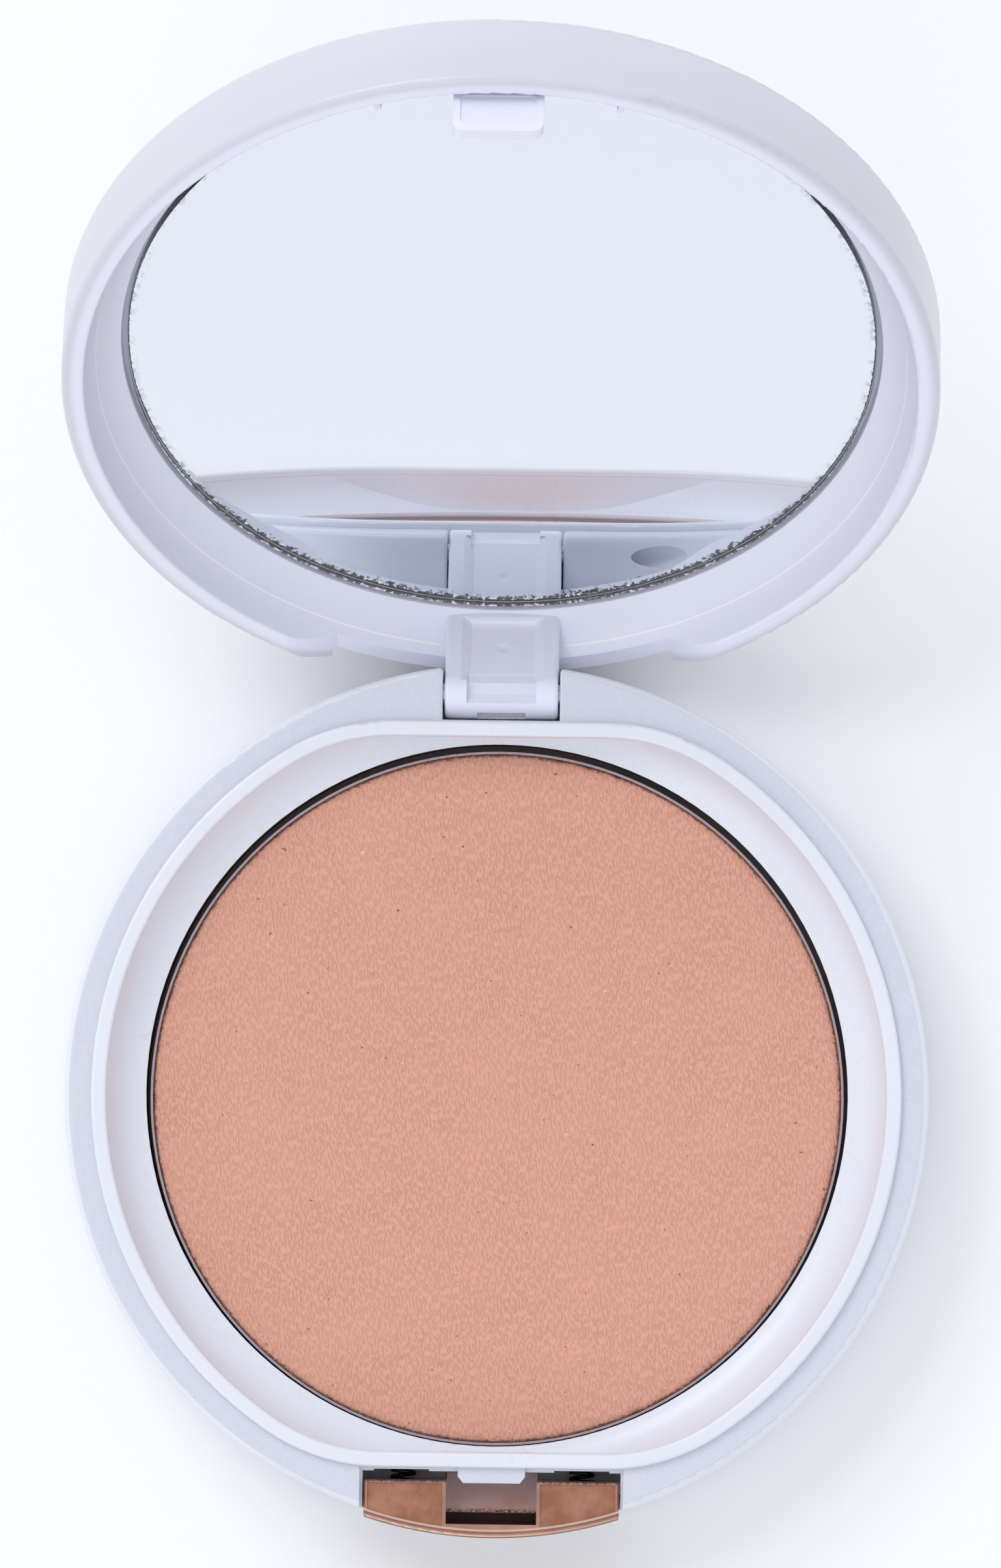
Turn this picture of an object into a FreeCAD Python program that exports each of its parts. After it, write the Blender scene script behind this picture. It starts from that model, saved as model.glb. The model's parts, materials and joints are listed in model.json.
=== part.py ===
import FreeCAD, Part
import math
import os

from FreeCAD import Vector

# Pressed powder compact, standing open. Millimetres, +Z up, +Y towards the hinge.
# The origin is the middle of the flat underside of the base.

# --- base ---
BASE_R = 36.7
RIM_Z = 10.5
RIM_ROUND = 0.65
FOOT_ROUND = 1.2
WELL_FLOOR_Z = 2.2
WELL_R = 29.85
WELL_Y = 0.1
WELL_EDGE_Z = 7.2
BOWL_LIP_DEPTH = 0.35
BOWL_BULGE_IN = 0.85
BOWL_BULGE_UP = 1.35

# --- raised collar round the powder recess: a circle cut off by a chord front and back ---
COLLAR_RISE = 0.65
COLLAR_WIDTH = 1.3
COLLAR_IN_R = 33.1
COLLAR_BACK_Y = 30.5
COLLAR_FRONT_Y = -30.2
COLLAR_CORNER_R = 16.0
COLLAR_ROUND = 0.3
COLLAR_TOP_Z = RIM_Z + COLLAR_RISE

# --- powder pan, glued into the well slightly towards the front ---
PAN_Y = -0.15
PAN_R = 29.5
PAN_WALL = 0.2
PAN_HEIGHT = 4.3
PAN_ROUND = 0.8
PAN_GLUE_R = 12.0
PAN_GLUE_T = 0.2
POWDER_FIT = 0.02
POWDER_BELOW_EDGE = 0.12
POWDER_CROWN = 0.15

# --- hinge ---
HINGE_Y = 34.16
HINGE_Z = RIM_Z - 1.96
HINGE_BORE_R = 0.93
PIN_R = 0.9
PIN_HALF = 9.1
PIN_ROUND = 0.25
BORE_BLIND_X = -9.3
KNUCKLE_R = 2.11
ARM_HALF = 4.82
ARM_ROUND = 0.35
NOTCH_HALF = 4.98
NOTCH_FRONT_Y = 31.9
NOTCH_FLOOR_Z = HINGE_Z - 2.5
NOTCH_FLOOR_FLAT = 0.8
NOTCH_ROUND = 0.3
RECESS_DEPTH = 0.65
RECESS_FLOOR_HALF = 2.65
RECESS_MOUTH_HALF = 3.26
RECESS_TOP_WALL = 0.6
RECESS_BEVEL = 0.22
DIMPLE_R = 1.4
DIMPLE_UP = 4.1
DIMPLE_DEPTH = 0.12
GATE_HALF = 2.05
GATE_DEPTH = 0.5
OPEN_ANGLE = 131.4

# --- lid ---
LID_R = 36.7
LID_GAP = 0.15
LID_BAND_IN_R = 34.8
LID_EDGE_H = 7.4
LID_CENTRE_H = 8.6
LID_CROWN_R = 0.7
LID_RIM_ROUND = 0.6
LID_RIM_IN_ROUND = 0.3
LID_WALL_MID_IN = 1.0
LID_WALL_MID_H = 3.3
SKIRT_CUT_H = 2.1
SKIRT_CUT_HALF = 14.1
SKIRT_SHOULDER_HALF = 14.9
SKIRT_SHOULDER_H = 1.6
SKIRT_FOOT_HALF = 18.3
SKIRT_BEVEL = 0.9
NUB_ANGLE = 17.2
NUB_HALF = 0.25
NUB_REACH = 1.4
NUB_LOW_H = 1.1
NUB_HIGH_H = 3.2
LID_Z = RIM_Z + LID_GAP

# --- mirror, glued to the inside of the lid ---
MIRROR_R = 31.4
MIRROR_SEAT_R = 31.9
MIRROR_DEPTH = 5.6
GLASS_T = 1.0
SILVER_T = 0.05
MIRROR_GLUE_T = 0.15
MIRROR_GLUE_R = 28.0
SEAT_DEPTH = MIRROR_DEPTH + GLASS_T + SILVER_T + MIRROR_GLUE_T

# --- catch: the lid's hook hangs between the base's tongue and the button's ramp ---
HOOK_HALF = 3.72
HOOK_OUT_Y = -34.2
HOOK_T = 1.0
HOOK_REACH = 3.5
HOOK_CORNER = 0.9
HOOK_ROOT_H = 3.9
HOOK_PANEL_BORDER = 0.6
HOOK_PANEL_DEPTH = 0.15
BARB_HALF = 2.6
BARB_PROUD = 0.3
BARB_UP = 0.3
BARB_H = 1.3
TONGUE_HALF = 2.85
TONGUE_TIP_HALF = 2.41
TONGUE_Y = -32.8
TONGUE_T = 1.2
TONGUE_TAPER = 0.55

# --- push button and its pocket ---
POCKET_HALF = 11.2
POCKET_BACK_Y = -31.5
POCKET_FLOOR_Z = 2.6
LEDGE_Y = -31.85
LEDGE_DROP = 0.8
SIDE_LEDGE_HALF = 10.95
SLOT_X = (5.3, 10.0)
SLOT_Y = -31.7
UNDERCUT_HALF = 4.3
UNDERCUT_Y = -31.2
UNDERCUT_DROP = 0.6
BUTTON_HALF = 10.83
BUTTON_TRAVEL = 0.6
BUTTON_STOP_GAP = 0.1
BUTTON_BACK_Y = LEDGE_Y - BUTTON_STOP_GAP - BUTTON_TRAVEL
BUTTON_NOSE_Y = -37.47
BUTTON_NOSE_R = 35.4
BUTTON_LOW_Z = 2.8
BUTTON_TOP_Z = RIM_Z - 0.25
BUTTON_ROUND = 0.2
BUTTON_TOP_ROUND = 0.28
PANEL_DEPTH = 0.22
PANEL_BORDER = 0.3
PANEL_NOSE_BORDER = 0.72
CATCH_GAP_HALF = 3.84
CATCH_GAP_FRONT_Y = -36.3
RAMP_BACK_Y = -32.0
RAMP_FRONT_Y = -35.35
RAMP_LOW_Z = 4.6
RAMP_HIGH_Z = 7.5
GUTTER_HIGH_Z = 5.4
LUG_PROUD = 0.7
LUG_Y = (-33.7, -32.75)
LUG_Z = (4.4, 6.2)
LUG_SLACK = 0.15
GROOVE_FRONT_SLACK = 0.1

# --- button springs, drawn at their pressed length ---
SPRING_X = 7.6
SPRING_Z = 5.0
SPRING_R = 1.1
SPRING_BORE = 0.75
SPRING_LEN = 2.85
SPRING_POCKET_R = 1.35
SPRING_POCKET_Y = -35.3

X_AXIS = Vector(1, 0, 0)
Y_AXIS = Vector(0, 1, 0)
Z_AXIS = Vector(0, 0, 1)


def block(x0, x1, y0, y1, z0, z1):
    return Part.makeBox(x1 - x0, y1 - y0, z1 - z0, Vector(x0, y0, z0))


def rod(radius, start, end):
    along = end - start
    return Part.makeCylinder(radius, along.Length, start, along)


def disc(radius, z0, z1, y=0):
    return rod(radius, Vector(0, y, z0), Vector(0, y, z1))


def arc(start, middle, end):
    return Part.Arc(start, middle, end).toShape()


def polygon_face(points):
    return Part.Face(Part.makePolygon(points + [points[0]]))


def side_prism(points_yz, half_width):
    """A prism across X, from its outline in the YZ plane."""
    outline = [Vector(-half_width, y, z) for y, z in points_yz]
    return polygon_face(outline).extrude(Vector(2 * half_width, 0, 0))


def plan_prism(points_xy, z0, z1):
    """An upright prism, from its outline seen from above."""
    outline = [Vector(x, y, z0) for x, y in points_xy]
    return polygon_face(outline).extrude(Vector(0, 0, z1 - z0))


def turned(edges):
    """A solid of revolution about Z, from edges in the XZ plane."""
    return Part.Face(Part.Wire(edges)).revolve(Vector(0, 0, 0), Z_AXIS, 360)


def path(*points):
    """Straight edges through (radius, height) points."""
    corners = [Vector(r, 0, z) for r, z in points]
    return [Part.makeLine(a, b) for a, b in zip(corners, corners[1:])]


def profile_arc(start, middle, end):
    return arc(*[Vector(r, 0, z) for r, z in (start, middle, end)])


def corner_arc(centre, radius, angle_from, angle_to):
    """A profile arc round (radius, height) centre, angles in degrees from outwards to up."""
    points = []
    for angle in (angle_from, (angle_from + angle_to) / 2, angle_to):
        a = math.radians(angle)
        points.append((centre[0] + radius * math.cos(a), centre[1] + radius * math.sin(a)))
    return profile_arc(*points)


def crown_arc(radius, edge_z, rise):
    """A shallow dome's profile, from its edge to its top on the axis."""
    sphere_r = (radius ** 2 + rise ** 2) / (2 * rise)
    half = math.asin(radius / sphere_r) / 2
    middle_z = edge_z + rise - sphere_r * (1 - math.cos(half))
    return profile_arc((radius, edge_z), (sphere_r * math.sin(half), middle_z), (0, edge_z + rise))


def rounded(shape, radius, wanted):
    """The shape with every edge that wanted(edge) picks rounded."""
    return shape.makeFillet(radius, [edge for edge in shape.Edges if wanted(edge)])


def level_at(z):
    """Picks the edges that lie wholly at height z."""
    def wanted(edge):
        box = edge.BoundBox
        return abs(box.ZMin - z) < 1e-4 and abs(box.ZMax - z) < 1e-4
    return wanted


def clipped_circle(radius, front_y, back_y, corner_r, z):
    """A circle cut off by chords at front_y and back_y, with rounded corners, as a face."""
    def corner(side, chord_y):
        up = 1 if chord_y > 0 else -1
        centre_y = chord_y - up * corner_r
        centre_x = side * math.sqrt((radius - corner_r) ** 2 - centre_y ** 2)
        reach = radius / (radius - corner_r)
        on_chord = Vector(centre_x, chord_y, z)
        on_circle = Vector(centre_x * reach, centre_y * reach, z)
        angle = (math.atan2(centre_y, centre_x) + up * math.pi / 2) / 2
        middle = Vector(centre_x + corner_r * math.cos(angle), centre_y + corner_r * math.sin(angle), z)
        return on_chord, middle, on_circle

    front_right = corner(1, front_y)
    back_right = corner(1, back_y)
    back_left = corner(-1, back_y)
    front_left = corner(-1, front_y)
    edges = [
        Part.makeLine(front_left[0], front_right[0]),
        arc(*front_right),
        arc(front_right[2], Vector(radius, 0, z), back_right[2]),
        arc(*reversed(back_right)),
        Part.makeLine(back_right[0], back_left[0]),
        arc(*back_left),
        arc(back_left[2], Vector(-radius, 0, z), front_left[2]),
        arc(*reversed(front_left)),
    ]
    return Part.Face(Part.Wire(edges))


def collar_prism(offset, z0, z1):
    """The collar's outline, moved outwards by offset, as an upright prism."""
    outline = clipped_circle(
        COLLAR_IN_R + offset,
        COLLAR_FRONT_Y - offset,
        COLLAR_BACK_Y + offset,
        COLLAR_CORNER_R + offset,
        z0,
    )
    return outline.extrude(Vector(0, 0, z1 - z0))


def recess():
    """The space above the pan: a concave bowl, cut off by the collar's chords."""
    lip_z = COLLAR_TOP_Z - BOWL_LIP_DEPTH
    above_z = COLLAR_TOP_Z + 1
    middle = (COLLAR_IN_R - BOWL_BULGE_IN, WELL_EDGE_Z + BOWL_BULGE_UP)
    edges = path((COLLAR_IN_R, lip_z), (BASE_R, lip_z), (BASE_R, above_z), (0, above_z))
    edges += path((0, above_z), (0, WELL_EDGE_Z), (WELL_R, WELL_EDGE_Z))
    edges.append(profile_arc((WELL_R, WELL_EDGE_Z), middle, (COLLAR_IN_R, lip_z)))
    bowl = turned(edges)
    return bowl.common(collar_prism(0, WELL_EDGE_Z - 1, above_z))


def latch_pocket():
    """The pocket that the button slides in, with a low ledge at its back and sides."""
    top = RIM_Z + 1
    pocket = block(-POCKET_HALF, POCKET_HALF, -BASE_R - 2, POCKET_BACK_Y, POCKET_FLOOR_Z, top)
    ledge_z = RIM_Z - LEDGE_DROP
    ledges = [block(-POCKET_HALF, POCKET_HALF, LEDGE_Y, POCKET_BACK_Y, POCKET_FLOOR_Z, ledge_z)]
    for x0, x1 in ((SIDE_LEDGE_HALF, POCKET_HALF), (-POCKET_HALF, -SIDE_LEDGE_HALF)):
        ledges.append(block(x0, x1, -BASE_R - 2, POCKET_BACK_Y, POCKET_FLOOR_Z, ledge_z))
    pocket = pocket.cut(ledges)
    slots = []
    for x0, x1 in (SLOT_X, (-SLOT_X[1], -SLOT_X[0])):
        slots.append(block(x0, x1, LEDGE_Y - 1, SLOT_Y, POCKET_FLOOR_Z, top))
    under_top = RIM_Z - TONGUE_T - UNDERCUT_DROP
    under = block(-UNDERCUT_HALF, UNDERCUT_HALF, TONGUE_Y, UNDERCUT_Y, POCKET_FLOOR_Z, under_top)
    groove_half = BUTTON_HALF + LUG_PROUD + LUG_SLACK
    grooves = block(
        -groove_half,
        groove_half,
        LUG_Y[0] - GROOVE_FRONT_SLACK,
        POCKET_BACK_Y,
        LUG_Z[0] - LUG_SLACK,
        LUG_Z[1] + LUG_SLACK,
    )
    return pocket.fuse([under, grooves] + slots)


def tongue():
    half, tip = TONGUE_HALF, TONGUE_TIP_HALF
    back_y = POCKET_BACK_Y + 0.1
    shoulder_y = TONGUE_Y + TONGUE_TAPER
    outline = [(-half, back_y), (-half, shoulder_y), (-tip, TONGUE_Y)]
    outline += [(tip, TONGUE_Y), (half, shoulder_y), (half, back_y)]
    return plan_prism(outline, RIM_Z - TONGUE_T, RIM_Z)


def hinge_notch():
    """The gap for the lid's arm, with a floor that falls away under the open arm."""
    upper = block(-NOTCH_HALF, NOTCH_HALF, NOTCH_FRONT_Y, BASE_R + 2, NOTCH_FLOOR_Z, RIM_Z + 1)
    start_y = NOTCH_FRONT_Y + NOTCH_FLOOR_FLAT
    end_y = BASE_R + 1
    fall = end_y - start_y
    floor = [(start_y, NOTCH_FLOOR_Z), (end_y, NOTCH_FLOOR_Z - fall), (end_y, NOTCH_FLOOR_Z)]
    return upper.fuse(side_prism(floor, NOTCH_HALF))


def hinge_bore(x0, x1):
    return rod(HINGE_BORE_R, Vector(x0, HINGE_Y, HINGE_Z), Vector(x1, HINGE_Y, HINGE_Z))


def base_shell():
    body = disc(BASE_R, 0, RIM_Z)
    body = rounded(body, FOOT_ROUND, level_at(0))
    body = rounded(body, RIM_ROUND, level_at(RIM_Z))
    body = body.fuse(collar_prism(COLLAR_WIDTH, RIM_Z - 1, COLLAR_TOP_Z))
    body = body.cut(recess())
    body = rounded(body, COLLAR_ROUND, level_at(COLLAR_TOP_Z))
    body = body.cut(disc(WELL_R, WELL_FLOOR_Z, WELL_EDGE_Z + 0.5, WELL_Y))
    body = body.cut(latch_pocket())
    body = body.fuse(tongue())
    body = body.cut(hinge_notch())

    def notch_lip(edge):
        box = edge.BoundBox
        return level_at(RIM_Z)(edge) and abs(abs(box.XMin) - NOTCH_HALF) < 1e-4 and box.XLength < 1e-4

    body = rounded(body, NOTCH_ROUND, notch_lip)
    return body.cut(hinge_bore(BORE_BLIND_X, BASE_R))


def powder_pan():
    low = WELL_FLOOR_Z + PAN_GLUE_T
    high = low + PAN_HEIGHT
    outer = rounded(disc(PAN_R, low, high, PAN_Y), PAN_ROUND, level_at(low))
    inner = disc(PAN_R - PAN_WALL, low + PAN_WALL, high + 1, PAN_Y)
    inner = rounded(inner, PAN_ROUND - PAN_WALL, level_at(low + PAN_WALL))
    return outer.cut(inner)


def pressed_powder():
    """The powder cake, flush under the pan's edge and very slightly crowned."""
    low = WELL_FLOOR_Z + PAN_GLUE_T + PAN_WALL
    edge_z = WELL_FLOOR_Z + PAN_GLUE_T + PAN_HEIGHT - POWDER_BELOW_EDGE
    radius = PAN_R - PAN_WALL - POWDER_FIT
    edges = path((0, edge_z + POWDER_CROWN), (0, low), (radius, low), (radius, edge_z))
    edges.append(crown_arc(radius, edge_z, POWDER_CROWN))
    cake = rounded(turned(edges), PAN_ROUND - PAN_WALL, level_at(low))
    cake.translate(Vector(0, PAN_Y, 0))
    return cake


def pan_adhesive():
    return disc(PAN_GLUE_R, WELL_FLOOR_Z, WELL_FLOOR_Z + PAN_GLUE_T, PAN_Y)


def nose_arc(inset, half):
    """The curve of the button's front, inset from it, between x = -half and half."""
    radius = BUTTON_NOSE_R - inset
    centre_y = BUTTON_NOSE_Y + BUTTON_NOSE_R
    end_y = centre_y - math.sqrt(radius ** 2 - half ** 2)
    return Vector(-half, end_y, 0), Vector(0, centre_y - radius, 0), Vector(half, end_y, 0)


def button_plan(half, back_y, inset):
    """The button's outline seen from above, as a face at z = 0."""
    left, middle, right = nose_arc(inset, half)
    back_left = Vector(-half, back_y, 0)
    back_right = Vector(half, back_y, 0)
    sides = [Part.makeLine(right, back_right), Part.makeLine(back_right, back_left)]
    return Part.Face(Part.Wire([arc(left, middle, right)] + sides + [Part.makeLine(back_left, left)]))


def push_button():
    height = BUTTON_TOP_Z - BUTTON_LOW_Z
    body = button_plan(BUTTON_HALF, BUTTON_BACK_Y, 0).extrude(Vector(0, 0, height))
    body.translate(Vector(0, 0, BUTTON_LOW_Z))
    body = rounded(body, BUTTON_ROUND, lambda edge: edge.BoundBox.ZLength > height / 2)
    body = rounded(body, BUTTON_TOP_ROUND, level_at(BUTTON_TOP_Z))

    panel = button_plan(BUTTON_HALF - PANEL_BORDER, BUTTON_BACK_Y - PANEL_BORDER, PANEL_NOSE_BORDER)
    panel = panel.extrude(Vector(0, 0, PANEL_DEPTH + 1))
    panel.translate(Vector(0, 0, BUTTON_TOP_Z - PANEL_DEPTH))
    middle_half = CATCH_GAP_HALF + PANEL_BORDER
    kept = block(-middle_half, middle_half, -BASE_R - 2, 0, 0, 2 * RIM_Z)
    body = body.cut(panel.cut(kept))

    gap = CATCH_GAP_HALF
    body = body.cut(block(-gap, gap, CATCH_GAP_FRONT_Y, 0, BUTTON_LOW_Z + 1, RIM_Z))
    ramp = [(RAMP_BACK_Y, BUTTON_LOW_Z + 0.5), (RAMP_FRONT_Y, BUTTON_LOW_Z + 0.5)]
    ramp += [(RAMP_FRONT_Y, RAMP_HIGH_Z), (RAMP_BACK_Y, RAMP_LOW_Z)]
    gutter = [(RAMP_FRONT_Y + 0.1, BUTTON_LOW_Z + 0.5), (CATCH_GAP_FRONT_Y - 0.1, BUTTON_LOW_Z + 0.5)]
    gutter += [(CATCH_GAP_FRONT_Y - 0.1, BUTTON_LOW_Z + 1), (RAMP_FRONT_Y + 0.1, GUTTER_HIGH_Z)]
    body = body.fuse([side_prism(ramp, gap + 0.1), side_prism(gutter, gap + 0.1)])

    lug_half = BUTTON_HALF + LUG_PROUD
    for side in (-1, 1):
        near = side * (BUTTON_HALF - 0.5)
        far = side * lug_half
        lug = block(min(near, far), max(near, far), LUG_Y[0], LUG_Y[1], LUG_Z[0], LUG_Z[1])
        body = body.fuse(lug)
        centre = Vector(side * SPRING_X, 0, SPRING_Z)
        body = body.cut(rod(SPRING_POCKET_R, centre + Y_AXIS * SPRING_POCKET_Y, centre))
    return body


def button_springs():
    """Two return springs, each as the sleeve that its coils fill."""
    springs = []
    for side in (-1, 1):
        back = Vector(side * SPRING_X, SLOT_Y, SPRING_Z)
        front = back - Y_AXIS * SPRING_LEN
        springs.append(rod(SPRING_R, front, back).cut(rod(SPRING_BORE, front, back)))
    return Part.makeCompound(springs)


def hinge_pin():
    start = Vector(-PIN_HALF, HINGE_Y, HINGE_Z)
    end = Vector(PIN_HALF, HINGE_Y, HINGE_Z)
    pin = rod(PIN_R, start, end)
    return rounded(pin, PIN_ROUND, lambda edge: edge.BoundBox.XLength < 1e-4)


def lid_cup():
    """The lid's round wall and top, with the rim at LID_Z."""
    z = LID_Z
    top = z + LID_EDGE_H
    crown = LID_CROWN_R
    seat_z = z + MIRROR_DEPTH
    ceiling_z = z + SEAT_DEPTH
    band_in = LID_BAND_IN_R
    edges = path((band_in + LID_RIM_IN_ROUND, z), (LID_R - LID_RIM_ROUND, z))
    edges.append(corner_arc((LID_R - LID_RIM_ROUND, z + LID_RIM_ROUND), LID_RIM_ROUND, -90, 0))
    edges += path((LID_R, z + LID_RIM_ROUND), (LID_R, top - crown))
    edges.append(corner_arc((LID_R - crown, top - crown), crown, 0, 90))
    edges.append(crown_arc(LID_R - crown, top, LID_CENTRE_H - LID_EDGE_H))
    edges += path((0, z + LID_CENTRE_H), (0, ceiling_z), (MIRROR_SEAT_R, ceiling_z))
    edges += path((MIRROR_SEAT_R, ceiling_z), (MIRROR_SEAT_R, seat_z))
    wall_mid = (band_in - LID_WALL_MID_IN, z + LID_WALL_MID_H)
    edges.append(profile_arc((MIRROR_SEAT_R, seat_z), wall_mid, (band_in, z + LID_RIM_IN_ROUND)))
    rim_in = (band_in + LID_RIM_IN_ROUND, z + LID_RIM_IN_ROUND)
    edges.append(corner_arc(rim_in, LID_RIM_IN_ROUND, 180, 270))
    return turned(edges)


def skirt_cut():
    """The gap in the back of the lid's skirt: rounded ends, and a bevel that rests on the open base."""
    foot = SKIRT_FOOT_HALF
    shoulder = SKIRT_SHOULDER_HALF
    rise = SKIRT_SHOULDER_H
    middle = (shoulder + 0.3 * (foot - shoulder), 0.62 * rise)
    low = -1
    y = LID_R / 2

    def at(x, h):
        return Vector(x, y, LID_Z + h)

    edges = [
        Part.makeLine(at(-foot, low), at(foot, low)),
        Part.makeLine(at(foot, low), at(foot, 0)),
        arc(at(foot, 0), at(*middle), at(shoulder, rise)),
        Part.makeLine(at(shoulder, rise), at(SKIRT_CUT_HALF, SKIRT_CUT_H)),
        Part.makeLine(at(SKIRT_CUT_HALF, SKIRT_CUT_H), at(-SKIRT_CUT_HALF, SKIRT_CUT_H)),
        Part.makeLine(at(-SKIRT_CUT_HALF, SKIRT_CUT_H), at(-shoulder, rise)),
        arc(at(-shoulder, rise), at(-middle[0], middle[1]), at(-foot, 0)),
        Part.makeLine(at(-foot, 0), at(-foot, low)),
    ]
    gap = Part.Face(Part.Wire(edges)).extrude(Vector(0, LID_R, 0))
    z = LID_Z + SKIRT_CUT_H
    beyond = LID_R + 0.5
    bevel = path(
        (LID_R - SKIRT_BEVEL, z - 0.5),
        (beyond, z - 0.5),
        (beyond, z + SKIRT_BEVEL + 0.5),
        (LID_R - SKIRT_BEVEL, z),
        (LID_R - SKIRT_BEVEL, z - 0.5),
    )
    half = SKIRT_CUT_HALF + 0.4
    back = block(-half, half, 0, beyond + 1, LID_Z - 1, LID_Z + LID_EDGE_H)
    return gap.fuse(turned(bevel).common(back))


def hinge_arm():
    """The arm that hangs from the lid's wall and ends in the hinge knuckle."""
    face_y = HINGE_Y - KNUCKLE_R
    upper = block(-ARM_HALF, ARM_HALF, face_y, LID_R + 1, HINGE_Z, LID_Z + MIRROR_DEPTH)
    knuckle = rod(KNUCKLE_R, Vector(-ARM_HALF, HINGE_Y, HINGE_Z), Vector(ARM_HALF, HINGE_Y, HINGE_Z))
    arm = upper.fuse(knuckle).removeSplitter()
    arm = arm.common(disc(LID_R, 0, LID_Z + LID_EDGE_H))

    def on_side(edge):
        box = edge.BoundBox
        return box.XLength < 1e-4 and abs(abs(box.XMin) - ARM_HALF) < 1e-4

    def round_end(edge):
        return on_side(edge) and edge.BoundBox.ZMin < HINGE_Z - KNUCKLE_R / 2

    def front_side(edge):
        box = edge.BoundBox
        straight = box.YMax < HINGE_Y + KNUCKLE_R / 2 and box.ZLength > 2
        return on_side(edge) and straight and box.ZMin > HINGE_Z - KNUCKLE_R / 2

    return rounded(arm, ARM_ROUND, lambda edge: front_side(edge) or round_end(edge))


def arm_recess():
    """The recess down the middle of the arm, running round onto the knuckle."""
    surface_y = HINGE_Y - KNUCKLE_R
    floor_y = surface_y + RECESS_DEPTH
    floor_half = RECESS_FLOOR_HALF
    side = [
        (floor_half, floor_y),
        (RECESS_MOUTH_HALF - RECESS_BEVEL / 2, surface_y + RECESS_BEVEL),
        (RECESS_MOUTH_HALF + RECESS_BEVEL, surface_y),
        (RECESS_MOUTH_HALF + RECESS_BEVEL, surface_y - 1),
    ]
    outline = side + [(-x, y) for x, y in reversed(side)]
    upper = plan_prism(outline, HINGE_Z - 0.3, LID_Z + MIRROR_DEPTH - RECESS_TOP_WALL)
    wrap = [(-3, 1), (-1.4, 1), (-1.4, 0), (-1.03, -0.95), (-0.85, -1.87), (-3, -2.5)]
    lower_half = (floor_half + RECESS_MOUTH_HALF) / 2
    lower = side_prism([(HINGE_Y + y, HINGE_Z + z) for y, z in wrap], lower_half)
    dimple = Part.makeSphere(DIMPLE_R, Vector(0, floor_y + DIMPLE_DEPTH - DIMPLE_R, HINGE_Z + DIMPLE_UP))
    return upper.fuse([lower, dimple])


def catch_hook():
    """The plate inside the lid's front that hangs into the button, with a barb near its tip."""
    tip_z = LID_Z - HOOK_REACH
    in_y = HOOK_OUT_Y + HOOK_T
    plate = block(-HOOK_HALF, HOOK_HALF, HOOK_OUT_Y, in_y, tip_z, LID_Z + HOOK_ROOT_H)
    plate = rounded(plate, HOOK_CORNER, lambda edge: level_at(tip_z)(edge) and edge.BoundBox.XLength < 1e-4)
    panel_half = HOOK_HALF - HOOK_PANEL_BORDER
    panel_back = HOOK_OUT_Y + HOOK_PANEL_DEPTH
    panel_low = tip_z + 1.5 * HOOK_PANEL_BORDER
    panel = block(-panel_half, panel_half, HOOK_OUT_Y - 1, panel_back, panel_low, LID_Z + HOOK_PANEL_BORDER)
    plate = plate.cut(rounded(panel, HOOK_PANEL_BORDER - 0.1, lambda edge: edge.BoundBox.YLength > 1))
    low = tip_z + BARB_UP
    barb = [(in_y - 0.1, low), (in_y + BARB_PROUD, low + BARB_H / 2), (in_y - 0.1, low + BARB_H)]
    return plate.fuse(side_prism(barb, BARB_HALF))


def rim_nubs():
    """Two small guide ribs inside the front of the lid's rim."""
    nubs = []
    for side in (-1, 1):
        inner = LID_BAND_IN_R - NUB_REACH
        outer = LID_BAND_IN_R + 0.5
        nub = block(inner, outer, -NUB_HALF, NUB_HALF, LID_Z + NUB_LOW_H, LID_Z + NUB_HIGH_H)
        nub.rotate(Vector(0, 0, 0), Z_AXIS, -90 + side * NUB_ANGLE)
        nubs.append(nub)
    return nubs


def opened(shape):
    """A piece of the closed lid, swung open about the hinge."""
    shape.rotate(Vector(0, HINGE_Y, HINGE_Z), X_AXIS, -OPEN_ANGLE)
    return shape


def lid_shell():
    lid = lid_cup().cut(skirt_cut())
    arm = hinge_arm().cut(arm_recess())
    lid = lid.fuse([arm, catch_hook()] + rim_nubs())
    lid = lid.cut(disc(MIRROR_SEAT_R, LID_Z + MIRROR_DEPTH, LID_Z + SEAT_DEPTH))
    lid = lid.cut(hinge_bore(-BASE_R, BASE_R))
    lid = opened(lid)
    face_y = HINGE_Y - KNUCKLE_R
    gate = block(-GATE_HALF, GATE_HALF, face_y - 1, face_y + GATE_DEPTH, HINGE_Z + 0.3, RIM_Z + 1)
    return lid.cut(gate)


def mirror_layer(radius, depth, thickness):
    low = LID_Z + depth
    return opened(disc(radius, low, low + thickness))


def mirror_glass():
    return mirror_layer(MIRROR_R, MIRROR_DEPTH, GLASS_T)


def mirror_silvering():
    return mirror_layer(MIRROR_R - 0.05, MIRROR_DEPTH + GLASS_T, SILVER_T)


def mirror_adhesive():
    return mirror_layer(MIRROR_GLUE_R, MIRROR_DEPTH + GLASS_T + SILVER_T, MIRROR_GLUE_T)


NODES = (
    base_shell,
    powder_pan,
    pressed_powder,
    pan_adhesive,
    push_button,
    button_springs,
    hinge_pin,
    lid_shell,
    mirror_glass,
    mirror_silvering,
    mirror_adhesive,
)

os.makedirs("parts", exist_ok=True)
for make in NODES:
    shape = make()
    shape.exportStep("parts/" + make.__name__ + ".step")
    print(make.__name__, "valid" if shape.isValid() else "INVALID", round(shape.Volume, 1), "mm3")
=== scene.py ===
import json
import math
import random

import bmesh
import bpy
from mathutils import Euler, Matrix, Vector, noise


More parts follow.
